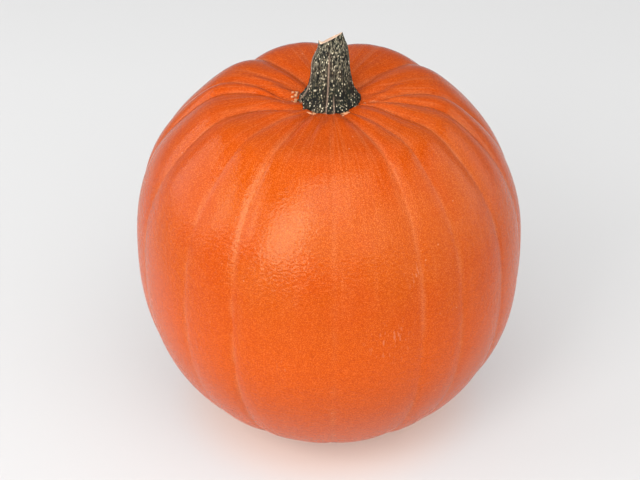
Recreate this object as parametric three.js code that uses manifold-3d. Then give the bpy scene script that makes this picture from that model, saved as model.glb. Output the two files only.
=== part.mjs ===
// A ribbed pumpkin standing on its own base, with its cut stem.
//
// Millimetres, +Z up. The origin is the middle of the base, on the surface that the pumpkin stands on.
// Azimuths are in degrees from the front (-Y), growing towards the right (+X).

import * as THREE from 'three';
import { mergeVertices } from 'three/addons/utils/BufferGeometryUtils.js';
import Module from 'manifold-3d';

// ---- Driving dimensions ----

// Fruit: a superellipse section, fuller above its widest level than below it.
const FRUIT_WIDTH = 261;
const BELLY_LEVEL = 134.7;
const CROWN_RISE = 117;
const BASE_DROP = 138;
const CROWN_FULLNESS = 2.55;
const BASE_FULLNESS = 2.15;

// Shoulder: a low swelling round the crown, before it dips to the stem.
const SHOULDER_RADIUS = 80;
const SHOULDER_SPREAD = 20;
const SHOULDER_RISE = 6.8;
const STEM_HOLLOW_DEPTH = 10.5;
const STEM_HOLLOW_SPREAD = 27;

// Uneven growth: the back shoulder stands higher than the front, and the right one is slighter.
const BACK_RISE = 5.6;
const BACK_RISE_SPREAD = 40;
const SHOULDER_FALL = 2.4;
const SHOULDER_FALL_LEVEL = 195;
const SHOULDER_FALL_SPREAD = 38;

// Blossom end: the small scar in the middle of the base.
const SCAR_RADIUS = 15;
const SCAR_DEPTH = 3;

// Furrows: the azimuth of each, and how deep it is beside an ordinary one.
const FURROWS = [
  [-161, 0.2], [-140.5, 1.4], [-119, 0.2], [-107.5, 0.9], [-96.5, 1.1],
  [-72, 1.3], [-46.5, 0.8], [-29, 1.1], [-14.5, 0.3], [1.5, 0.3],
  [28, 1.1], [42, 0.7], [62, 1.3], [82, 1.2], [98, 1.4],
  [113, 0.2], [132, 1.1], [155, 0.2], [178, 1.6],
];
const FURROW_DEPTH = 1.3;
const FURROW_SHARPNESS = 4;

// Lobes: the furrows that aren't faint also part the shoulders into lobes, most of all at the back.
const FAINT_FURROW = 0.5;
const LOBE_DEPTH = 5.8;
const LOBE_SHARPNESS = 2.5;
const LOBE_RADIUS = 86;
const LOBE_SPREAD = 46;
const FRONT_LOBE_SHARE = 0.25;

// The furrows deepen into folds where the crown draws in to the stem, and bend on the way, each to
// its own root at the foot: the azimuth where each furrow ends, and how deep its fold is.
const ROOTS = [
  [-161, 0.3], [-140, 0.9], [-114, 1], [-87, 1.5], [-79, 0.4],
  [-54, 0.6], [-43, 0.5], [-33, 1], [-8, 0.9], [7, 0.25],
  [24, 0.9], [39, 0.6], [70, 0.5], [75, 0.3], [80, 1.4],
  [97, 1], [128, 0.6], [155, 0.3], [178, 1],
];
const BEND_START = 24;
const BEND_SPREAD = 17;
const FOLD_DEPTH = 2.4;
const FOLD_SHARPNESS = 3;
const FOLD_RADIUS = 32;
const FOLD_SPREAD = 22;

// Stem: a flared, scalloped foot, a grooved shaft and an oblique cut.
const STEM_START = 236;
const STEM_FOOT_LEVEL = 245.5;
const STEM_CUT_LEVEL = 288.8;
const STEM_START_RADIUS = 15.6;
const STEM_TOP_RADIUS = 9.8;
const STEM_FLARE = 6.3;
const STEM_FLARE_HEIGHT = 6.3;
const STEM_LEAN = 1.6;
const TIP_TAPER = 2;
const TIP_PULL = 0.8;
const TIP_HEIGHT = 7;
const STEM_GROOVES = [
  [-146, 1], [-112, 0.9], [-76, 1.1], [-40, 1], [-9, 1.2],
  [13, 0.9], [44, 1], [79, 1.1], [112, 0.9], [147, 1], [180, 1.1],
];
const GROOVE_SHARPNESS = 3;
const FOOT_GROOVE = 0.15;
const SHAFT_GROOVE = 0.11;

// Cut: its rise towards +X and towards +Y, with a sunken face inside the rim and a hollow pith.
const CUT_SLOPE = [0.6, -0.47];
const CUT_FACE_SHARE = 0.78;
const CUT_RECESS = 0.4;
const PITH_SHARE = 0.3;
const PITH_DEPTH = 3.5;

// The gap kept between the stem and the skin it grows from.
const STEM_GAP = 0.3;

// Facets: rows crowd towards the crown and the base, columns towards the furrows.
const FRUIT_ROWS = 38;
const ROW_CROWDING = 0.5;
const LOBE_COLUMNS = [0, 0.14, 0.34, 0.66, 0.86];
const STEM_ROWS = 15;
const RIDGE_COLUMNS = [0, 0.22, 0.5, 0.78];

const radians = THREE.MathUtils.degToRad;

// ---- Helpers ----

/** A bell curve, 1 in the middle and about a third at one spread from it. */
function bell(distance, spread) {
  return Math.exp(-((distance / spread) ** 2));
}

/** The point at a distance from the axis, on an azimuth. */
function at(radius, azimuth, height) {
  return new THREE.Vector3(radius * Math.sin(azimuth), -radius * Math.cos(azimuth), height);
}

/** The angle from a groove to the next one round, in degrees. */
function lobeWidth(grooves, index) {
  const next = grooves[(index + 1) % grooves.length];
  return (next[0] - grooves[index][0] + 360) % 360;
}

/** The lobe that an azimuth falls in, and the share of the lobe's width up to it. */
function lobeAt(grooves, azimuth) {
  const degrees = THREE.MathUtils.radToDeg(azimuth);
  const shareFrom = (index) => ((degrees - grooves[index][0] + 720) % 360) / lobeWidth(grooves, index);
  const index = grooves.findIndex((_, candidate) => shareFrom(candidate) < 1);
  return { index, share: shareFrom(index) };
}

/** How deep the grooves are at a place in a lobe: 1 at the bottom of an ordinary groove. */
function grooveShare(grooves, { index, share }, sharpness) {
  const next = grooves[(index + 1) % grooves.length];
  return grooves[index][1] * (1 - share) ** sharpness + next[1] * share ** sharpness;
}

/** The azimuths of a turned body's columns: one in each groove and the rest across the lobes. */
function columnAzimuths(grooves, shares) {
  return grooves.flatMap(([start], index) => (
    shares.map((share) => radians(start + share * lobeWidth(grooves, index)))
  ));
}

/** Turns a closed profile about Z, with a column of points at each azimuth, and shapes every point. */
function turned(profile, azimuths, shape) {
  const lathe = new THREE.LatheGeometry(profile, azimuths.length);
  const position = lathe.attributes.position;
  const rows = profile.length;
  for (let index = 0; index < position.count; index += 1) {
    const column = Math.floor(index / rows) % azimuths.length;
    const { x: radius, y: height } = profile[index % rows];
    const point = shape(radius, azimuths[column], height);
    position.setXYZ(index, point.x, point.y, point.z);
  }
  return welded(lathe);
}

/** Joins the points that coincide, leaving out the facets that this closes up. */
function welded(geometry) {
  geometry.deleteAttribute('normal');
  geometry.deleteAttribute('uv');
  const merged = mergeVertices(geometry, 1e-3);
  const corners = merged.index.array;
  const kept = [];
  for (let start = 0; start < corners.length; start += 3) {
    const [a, b, c] = corners.slice(start, start + 3);
    if (a !== b && b !== c && c !== a) {
      kept.push(a, b, c);
    }
  }
  merged.setIndex(kept);
  return merged;
}

// ---- Fruit ----

/** The fruit's section on one side of the axis, from the base up to the stem. */
function fruitProfile() {
  const widest = FRUIT_WIDTH / 2;
  const points = [];
  for (let row = 0; row <= FRUIT_ROWS; row += 1) {
    const step = row / FRUIT_ROWS;
    const crowded = step - (ROW_CROWDING * Math.sin(2 * Math.PI * step)) / (2 * Math.PI);
    const angle = Math.PI * (crowded - 0.5);
    const rise = angle > 0 ? CROWN_RISE : BASE_DROP;
    const fullness = angle > 0 ? CROWN_FULLNESS : BASE_FULLNESS;
    const across = Math.abs(Math.cos(angle));
    const up = Math.abs(Math.sin(angle));
    const reach = ((across / widest) ** fullness + (up / rise) ** fullness) ** (-1 / fullness);
    const radius = row === 0 || row === FRUIT_ROWS ? 0 : reach * across;
    points.push(new THREE.Vector2(radius, BELLY_LEVEL + reach * Math.sin(angle)));
  }
  return points;
}

const lobeFurrows = FURROWS.filter(([, depth]) => depth > FAINT_FURROW);

/** How far the skin lies below the full roundness of the shoulders, between their lobes. */
function lobeDepth(radius, azimuth) {
  const growth = THREE.MathUtils.lerp(FRONT_LOBE_SHARE, 1, (1 - Math.cos(azimuth)) / 2);
  const parting = grooveShare(lobeFurrows, lobeAt(lobeFurrows, azimuth), LOBE_SHARPNESS);
  return LOBE_DEPTH * growth * bell(radius - LOBE_RADIUS, LOBE_SPREAD) * parting;
}

/** The azimuth of a place in a lobe, once the furrows on either side have bent towards their roots. */
function bentAzimuth({ index, share }, radius, height) {
  const straight = FURROWS[index][0] + share * lobeWidth(FURROWS, index);
  const rooted = ROOTS[index][0] + share * lobeWidth(ROOTS, index);
  const bend = height > BELLY_LEVEL ? bell(Math.max(0, radius - BEND_START), BEND_SPREAD) : 0;
  return radians(THREE.MathUtils.lerp(straight, rooted, bend));
}

/** A point of the skin, from its place on the plain section. */
function fruitPoint(radius, straightAzimuth, height) {
  const place = lobeAt(FURROWS, straightAzimuth);
  const azimuth = bentAzimuth(place, radius, height);
  const crown = Math.max(0, (height - BELLY_LEVEL) / CROWN_RISE) ** 2;
  const shoulder = SHOULDER_RISE * bell(radius - SHOULDER_RADIUS, SHOULDER_SPREAD);
  const hollow = STEM_HOLLOW_DEPTH * bell(radius, STEM_HOLLOW_SPREAD);
  const toBack = Math.max(0, -Math.cos(azimuth));
  const back = BACK_RISE * toBack * bell(radius - SHOULDER_RADIUS, BACK_RISE_SPREAD);
  const toRight = Math.max(0, Math.sin(azimuth));
  const fall = SHOULDER_FALL * toRight * bell(height - SHOULDER_FALL_LEVEL, SHOULDER_FALL_SPREAD);
  const nearAxis = Math.min(1, radius / SCAR_RADIUS);
  const lift = crown * (shoulder + back * nearAxis - hollow);
  const point = at(radius - fall * nearAxis, azimuth, height + lift);

  // A furrow runs in towards the middle of the fruit, and fades out at the stem and the scar.
  const furrow = FURROW_DEPTH * grooveShare(FURROWS, place, FURROW_SHARPNESS);
  const reach = FOLD_DEPTH * bell(radius - FOLD_RADIUS, FOLD_SPREAD);
  const fold = reach * grooveShare(ROOTS, place, FOLD_SHARPNESS);
  const depth = nearAxis * (furrow + crown * (fold + lobeDepth(radius, straightAzimuth)));
  const inward = new THREE.Vector3(0, 0, BELLY_LEVEL).sub(point).normalize();
  point.addScaledVector(inward, depth);

  // The weight of the fruit flattens the lobes it rests on, round the hollow scar.
  const scar = height < BELLY_LEVEL ? SCAR_DEPTH * Math.max(0, 1 - (radius / SCAR_RADIUS) ** 2) : 0;
  point.z = Math.max(0, point.z) + scar;
  return point;
}

// ---- Stem ----

/** How much of the foot's flare is left at a level: 1 at the skin and below, falling to 0 up the shaft. */
function footShare(height) {
  return Math.exp(-Math.max(0, height - STEM_FOOT_LEVEL) / STEM_FLARE_HEIGHT);
}

/** The stem's section: up the outside to the cut, then in over the rim to the pith. */
function stemProfile() {
  const points = [new THREE.Vector2(0, STEM_START)];
  for (let row = 0; row <= STEM_ROWS; row += 1) {
    const share = row / STEM_ROWS;
    const height = THREE.MathUtils.lerp(STEM_START, STEM_CUT_LEVEL, share);
    const taper = THREE.MathUtils.lerp(STEM_START_RADIUS, STEM_TOP_RADIUS, share);
    const flare = STEM_FLARE * footShare(height);
    const tip = TIP_TAPER * bell(STEM_CUT_LEVEL - height, TIP_HEIGHT);
    points.push(new THREE.Vector2(taper + flare - tip, height));
  }
  const rim = STEM_TOP_RADIUS - TIP_TAPER;
  points.push(new THREE.Vector2(CUT_FACE_SHARE * rim, STEM_CUT_LEVEL - CUT_RECESS));
  points.push(new THREE.Vector2(PITH_SHARE * rim, STEM_CUT_LEVEL - CUT_RECESS));
  points.push(new THREE.Vector2(0, STEM_CUT_LEVEL - PITH_DEPTH));
  return points;
}

/** A point of the stem: grooved, leaning, and drawn up or down to meet the oblique cut. */
function stemPoint(radius, azimuth, height) {
  const share = (height - STEM_START) / (STEM_CUT_LEVEL - STEM_START);
  const groove = THREE.MathUtils.lerp(SHAFT_GROOVE, FOOT_GROOVE, footShare(height));
  const cut = groove * grooveShare(STEM_GROOVES, lobeAt(STEM_GROOVES, azimuth), GROOVE_SHARPNESS);
  const point = at(radius * (1 - cut), azimuth, height);
  point.z += share ** 3 * (CUT_SLOPE[0] * point.x + CUT_SLOPE[1] * point.y);
  point.x += STEM_LEAN * share - TIP_PULL * bell(STEM_CUT_LEVEL - height, TIP_HEIGHT);
  return point;
}

// ---- Solids ----

const wasm = await Module();
wasm.setup();

/** A geometry as a solid that can be cut. */
function solid(geometry) {
  return new wasm.Manifold(new wasm.Mesh({
    numProp: 3,
    vertProperties: Float32Array.from(geometry.attributes.position.array),
    triVerts: Uint32Array.from(geometry.index.array),
  }));
}

/** A solid's surface as a geometry. */
function geometryOf(body) {
  const mesh = body.getMesh();
  const geometry = new THREE.BufferGeometry();
  geometry.setAttribute('position', new THREE.BufferAttribute(mesh.vertProperties, 3));
  geometry.setIndex(new THREE.BufferAttribute(mesh.triVerts, 1));
  return geometry;
}

/** The stem's blank, cut to the skin it grows from; the largest piece is what stands on the skin. */
function cutToSkin(blank, fruit) {
  const skin = fruit.clone().translate(0, 0, STEM_GAP);
  const pieces = solid(blank).subtract(solid(skin)).decompose();
  return pieces.reduce((best, piece) => (piece.volume() > best.volume() ? piece : best));
}

// ---- The pumpkin ----

const pumpkin = new THREE.Group();

const fruitColumns = columnAzimuths(FURROWS, LOBE_COLUMNS);
const fruitGeometry = turned(fruitProfile(), fruitColumns, fruitPoint);
const fruit = new THREE.Mesh(
  fruitGeometry,
  new THREE.MeshStandardMaterial({ color: 0xec6820, roughness: 0.45, metalness: 0 }),
);
fruit.name = 'pumpkin_body';
pumpkin.add(fruit);

const stemColumns = columnAzimuths(STEM_GROOVES, RIDGE_COLUMNS);
const stemBlank = turned(stemProfile(), stemColumns, stemPoint);
const stem = new THREE.Mesh(
  geometryOf(cutToSkin(stemBlank, fruitGeometry)),
  new THREE.MeshStandardMaterial({ color: 0x6f6a4c, roughness: 0.85, metalness: 0 }),
);
stem.name = 'stem';
pumpkin.add(stem);

export default pumpkin;
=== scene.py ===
"""A ribbed pumpkin with its dried stem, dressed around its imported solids.

The pumpkin's sizes are in millimetres in the dataclasses and become metres where a mesh is built;
MM is a millimetre in metres, and points nearer than SAME_PLACE, in metres, are one point. The
frame is the solids' own: +Z up, the front towards -Y, the origin in the middle of the base. Azimuths
are in degrees from the front, growing towards the right (+X).
"""

import logging
import math
from dataclasses import dataclass
from enum import Enum

import bmesh
import bpy
from mathutils import Euler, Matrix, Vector, noise
from mathutils.bvhtree import BVHTree

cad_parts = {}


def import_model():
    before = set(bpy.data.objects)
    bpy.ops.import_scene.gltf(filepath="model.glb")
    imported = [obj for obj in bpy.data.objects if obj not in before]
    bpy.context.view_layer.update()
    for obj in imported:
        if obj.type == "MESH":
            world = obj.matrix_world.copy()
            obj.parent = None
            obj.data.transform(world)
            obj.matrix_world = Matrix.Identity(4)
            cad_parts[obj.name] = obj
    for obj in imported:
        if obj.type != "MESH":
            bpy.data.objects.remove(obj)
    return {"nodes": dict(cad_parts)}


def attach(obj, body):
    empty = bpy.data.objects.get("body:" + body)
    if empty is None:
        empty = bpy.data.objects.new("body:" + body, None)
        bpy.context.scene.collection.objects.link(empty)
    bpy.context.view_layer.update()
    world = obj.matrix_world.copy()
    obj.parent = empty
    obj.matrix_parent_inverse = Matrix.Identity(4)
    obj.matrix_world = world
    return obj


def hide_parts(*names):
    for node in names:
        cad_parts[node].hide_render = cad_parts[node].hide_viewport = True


MM = 0.001
SAME_PLACE = 1e-7

Socket = bpy.types.NodeSocket
Colour = tuple[float, float, float, float]

log = logging.getLogger("pumpkin")


class Body(Enum):
    """The bodies that pieces ride on."""

    ROOT = "root"


class Slot(Enum):
    """The record's material slots."""

    SKIN = "pumpkin_skin"
    STEM = "dry_stem"


# ---- Numbers and colours ----


def bell(distance: float, spread: float) -> float:
    """Gives a bell curve: 1 in the middle, about a third at one spread from it."""
    return math.exp(-((distance / spread) ** 2))


def blend(low: float, high: float, share: float) -> float:
    """Gives the value a share of the way from low to high."""
    return low + (high - low) * share


def clamp(value: float) -> float:
    """Holds a value between 0 and 1."""
    return min(1.0, max(0.0, value))


def crowd(share: float, crowding: float) -> float:
    """Moves a share towards the nearer of 0 and 1; a crowding of 0 leaves it where it is."""
    return share - crowding * math.sin(math.tau * share) / math.tau


def colour(code: str) -> Colour:
    """Turns an sRGB hex colour into linear red, green, blue and alpha.

    Args:
        code: Six hex digits, such as "f06a1c".

    Returns:
        The linear colour with an alpha of 1.
    """
    parts = [int(code[start : start + 2], 16) / 255 for start in (0, 2, 4)]
    linear = [p / 12.92 if p <= 0.04045 else ((p + 0.055) / 1.055) ** 2.4 for p in parts]
    return (linear[0], linear[1], linear[2], 1.0)


def at(radius: float, azimuth: float, height: float) -> Vector:
    """Gives the point at a distance from the axis, on an azimuth in radians."""
    return Vector((radius * math.sin(azimuth), -radius * math.cos(azimuth), height))


@dataclass(frozen=True)
class Growth:
    """Uneven growth round and up a turned body, from cloudy noise.

    It has a number of waves to a radian round the body and a length up it, and each kind of growth
    reads a row of the noise that is its own.
    """

    waves: float
    length: float
    row: float

    def at(self, azimuth: float, height: float) -> float:
        """Gives the growth, from about -1 to 1, on an azimuth in radians and at a height."""
        return noise.noise(Vector((azimuth * self.waves, height / self.length, self.row)))


@dataclass(frozen=True)
class Spot:
    """A place on a plain turned body: how far out and up, in which lobe, and how far across it."""

    radius: float
    height: float
    index: int
    share: float


@dataclass(frozen=True)
class Grooves:
    """Grooves that run up a turned body, each an azimuth and a depth beside an ordinary one.

    Each groove starts the lobe that lies between it and the next one round.
    """

    places: tuple[tuple[float, float], ...]
    softness: float = 0.03

    def stronger(self, least: float) -> "Grooves":
        """Gives the grooves that are deeper than a least depth."""
        return Grooves(tuple(place for place in self.places if place[1] > least), self.softness)

    def following(self, index: int) -> tuple[float, float]:
        """Gives the azimuth and the depth of the next groove round."""
        return self.places[(index + 1) % len(self.places)]

    def width(self, index: int) -> float:
        """Gives the angle in degrees from a groove to the next one round."""
        return (self.following(index)[0] - self.places[index][0]) % 360

    def spot(self, corner: Vector, columns: int, crowding: float) -> Spot:
        """Finds the place of a corner of the plain turned body.

        Each lobe takes an equal part of the full turn there, however wide it gets to be.

        Args:
            corner: The corner, in metres.
            columns: The number of columns round the body, which lie a whole, half or quarter
                column from the front.
            crowding: How strongly columns crowd towards the grooves, from 0 to 1.

        Returns:
            The place, in millimetres.
        """
        quarters = round(math.atan2(corner.x, -corner.y) / math.tau * columns * 4)
        whole = (quarters / (columns * 4)) % 1.0 * len(self.places)
        index = min(int(whole), len(self.places) - 1)
        share = crowd(whole - index, crowding)
        return Spot(math.hypot(corner.x, corner.y) / MM, corner.z / MM, index, share)

    def azimuth(self, spot: Spot) -> float:
        """Gives the azimuth in radians of a place."""
        return math.radians(self.places[spot.index][0] + spot.share * self.width(spot.index))

    def depth(self, index: int, share: float, sharpness: float) -> float:
        """Gives how deep the grooves are at a share of a lobe's width.

        Args:
            index: The groove that starts the lobe.
            share: The share of the lobe's width.
            sharpness: How narrow the grooves are.

        Returns:
            The depth, about 1 at the bottom of an ordinary groove.
        """
        near = max(0.0, 1 - math.hypot(share, self.softness))
        far = max(0.0, 1 - math.hypot(1 - share, self.softness))
        start, end = self.places[index][1], self.following(index)[1]
        return start * near**sharpness + end * far**sharpness

    def depth_at(self, azimuth: float, sharpness: float) -> float:
        """Gives how deep the grooves are at an azimuth.

        Args:
            azimuth: The azimuth in radians.
            sharpness: How narrow the grooves are.

        Returns:
            The depth, about 1 at the bottom of an ordinary groove.
        """
        degrees = math.degrees(azimuth)
        for index, place in enumerate(self.places):
            share = ((degrees - place[0]) % 360) / self.width(index)
            if share < 1:
                return self.depth(index, share, sharpness)
        return 0.0


# ---- Meshes ----


def turned(section: list[Vector], columns: int) -> bmesh.types.BMesh:
    """Spins a section that starts and ends on the axis into a closed body.

    Args:
        section: The section's points, from the bottom up, in the plane X-Z.
        columns: The number of columns round the axis.

    Returns:
        The closed mesh, with its doubles merged.
    """
    mesh = bmesh.new()
    chain = [mesh.verts.new(point) for point in section]
    edges = [mesh.edges.new(pair) for pair in zip(chain, chain[1:])]
    bmesh.ops.spin(
        mesh,
        geom=chain + edges,
        cent=(0, 0, 0),
        axis=(0, 0, 1),
        angle=math.tau,
        steps=columns,
        use_merge=True,
        use_duplicate=False,
    )
    bmesh.ops.remove_doubles(mesh, verts=mesh.verts, dist=SAME_PLACE)
    return mesh


def finished(
    mesh: bmesh.types.BMesh, name: str, slot: Slot, *materials: bpy.types.Material
) -> bpy.types.Object:
    """Makes a smooth-shaded piece of a mesh and lets it ride on the root body.

    Args:
        mesh: The finished mesh, which is freed.
        name: The piece's name.
        slot: The record's slot; not used.
        *materials: The materials; each face holds the number of its own, from 0.

    Returns:
        The new object.
    """
    bmesh.ops.recalc_face_normals(mesh, faces=mesh.faces)
    for face in mesh.faces:
        face.smooth = True
    data = bpy.data.meshes.new(name)
    mesh.to_mesh(data)
    mesh.free()
    piece = bpy.data.objects.new(name, data)
    bpy.context.scene.collection.objects.link(piece)
    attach(piece, Body.ROOT.value)
    for material in materials:
        data.materials.append(material)
    log.info("%s: %d faces", name, len(data.polygons))
    return piece


# ---- Patterns and materials ----


@dataclass(frozen=True)
class Tint:
    """A colour, as an sRGB hex code, and how much of it covers what is under it where it shows."""

    code: str
    cover: float = 1.0


@dataclass(frozen=True)
class Cloud:
    """Soft-edged patches: their size, and the noise at which one starts and at which it is full.

    Detail is how many finer noises break up a patch's edge.
    """

    size: float
    start: float
    full: float
    detail: float = 3.0


@dataclass(frozen=True)
class Specks:
    """Scattered specks: how far apart, how large and how many.

    The radius is a share of the spacing, and the share says how many places hold a speck. Its soft
    edge runs between two shares of the radius.
    """

    spacing: float
    radius: float
    share: float
    edge: tuple[float, float] = (0.6, 1.5)


@dataclass(frozen=True)
class Bumps:
    """A noise relief: the size of its bumps, its depth and how many finer noises it adds."""

    size: float
    depth: float
    detail: float = 2.0


def per(size: float) -> float:
    """Gives a texture's scale for a pattern of a size in millimetres."""
    return 1 / (size * MM)


def ramp(start: float, end: float, low: float = 0.0, high: float = 1.0) -> dict[str, float]:
    """Gives the limits of a change from low at the start to high at the end."""
    return {"From Min": start, "From Max": end, "To Min": low, "To Max": high}


class Nodes:
    """A node tree under construction."""

    def __init__(self, tree: bpy.types.NodeTree) -> None:
        """Takes the tree that the nodes go in."""
        self.tree = tree

    def add(
        self, kind: str, inputs: dict | None = None, out: int | str = 0, **settings: object
    ) -> Socket:
        """Adds a node with its links and settings.

        Args:
            kind: The node's type, after "ShaderNode".
            inputs: What each input takes, by name or number: an output socket or a value.
            out: The name or number of the output to hand back.
            **settings: The node's own settings.

        Returns:
            The output socket.
        """
        node = self.tree.nodes.new("ShaderNode" + kind)
        for key, value in settings.items():
            setattr(node, key, value)
        for key, value in (inputs or {}).items():
            self.feed(node.inputs[key], value)
        return node.outputs[out]

    def feed(self, target: Socket, value: object) -> None:
        """Links an output to an input, or sets the input's own value.

        Args:
            target: The input.
            value: The output socket or the value.
        """
        if isinstance(value, Socket):
            self.tree.links.new(value, target)
        else:
            target.default_value = value


class Paint(Nodes):
    """A material under construction on a Principled shader."""

    def __init__(self, name: str) -> None:
        """Starts the material and reads the object's own coordinates.

        Args:
            name: The material's name.
        """
        self.material = bpy.data.materials.new(name)
        self.material.use_nodes = True
        super().__init__(self.material.node_tree)
        self.shader = self.tree.nodes["Principled BSDF"]
        self.place = self.add("TexCoord", out="Object")

    def patches(self, place: Socket, cloud: Cloud) -> Socket:
        """Draws soft-edged patches of cloudy noise.

        Args:
            place: The coordinates to draw on.
            cloud: The patches.

        Returns:
            The mask, 1 in a full patch and 0 between patches.
        """
        look = {"Vector": place, "Scale": per(cloud.size), "Detail": cloud.detail}
        limits = ramp(cloud.start, cloud.full)
        inputs = {"Value": self.add("TexNoise", look), **limits}
        return self.add("MapRange", inputs, interpolation_type="SMOOTHSTEP")

    def specks(self, place: Socket, specks: Specks) -> Socket:
        """Draws scattered soft-edged specks.

        Args:
            place: The coordinates to draw on.
            specks: The specks.

        Returns:
            The mask, 1 on a speck and 0 between specks.
        """
        cell = self.add("TexVoronoi", {"Vector": place, "Scale": per(specks.spacing)})
        chance = self.add("SeparateColor", {0: cell.node.outputs["Color"]})
        kept = self.add("Math", {0: chance, 1: specks.share}, operation="LESS_THAN")
        inner, outer = (specks.radius * share for share in specks.edge)
        limits = ramp(inner, outer, 1.0, 0.0)
        spot = self.add("MapRange", {"Value": cell, **limits}, interpolation_type="SMOOTHSTEP")
        return self.add("Math", {0: spot, 1: kept}, operation="MULTIPLY")

    def lay(
        self, base: Socket | Colour, tint: Tint, mask: Socket | str, gaps: Socket | float = 1.0
    ) -> Socket:
        """Lays a tint over a colour.

        Args:
            base: The colour under the tint.
            tint: The tint.
            mask: Where it goes: a mask from 0 to 1, or the name of one of the mesh's marks.
            gaps: A mask that breaks it up.

        Returns:
            The tinted colour.
        """
        if isinstance(mask, str):
            mask = self.add("Attribute", out="Fac", attribute_name=mask)
        broken = self.add("Math", {0: mask, 1: gaps}, operation="MULTIPLY")
        share = self.add("Math", {0: broken, 1: tint.cover}, operation="MULTIPLY")
        return self.add("Mix", {0: share, 6: base, 7: colour(tint.code)}, 2, data_type="RGBA")

    def rough_up(
        self, below: Socket | None, bumps: Bumps, place: Socket, share: Socket | float = 1.0
    ) -> Socket:
        """Adds a noise relief over the one below.

        Args:
            below: The relief below, if there is one.
            bumps: The noise relief.
            place: The coordinates to draw on.
            share: How much of the depth there is at a place.

        Returns:
            The relief.
        """
        look = {"Vector": place, "Scale": per(bumps.size), "Detail": bumps.detail}
        inputs = {0: self.add("TexNoise", look), 1: share}
        height = self.add("Math", inputs, operation="MULTIPLY")
        inputs = {"Height": height, "Distance": bumps.depth * MM}
        return self.add("Bump", inputs | ({"Normal": below} if below else {}))

    def finish(self, **inputs: object) -> bpy.types.Material:
        """Feeds the shader.

        Args:
            **inputs: What each of its inputs takes, by name with "_" for a space.

        Returns:
            The material.
        """
        for key, value in inputs.items():
            self.feed(self.shader.inputs[key.replace("_", " ")], value)
        return self.material


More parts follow.
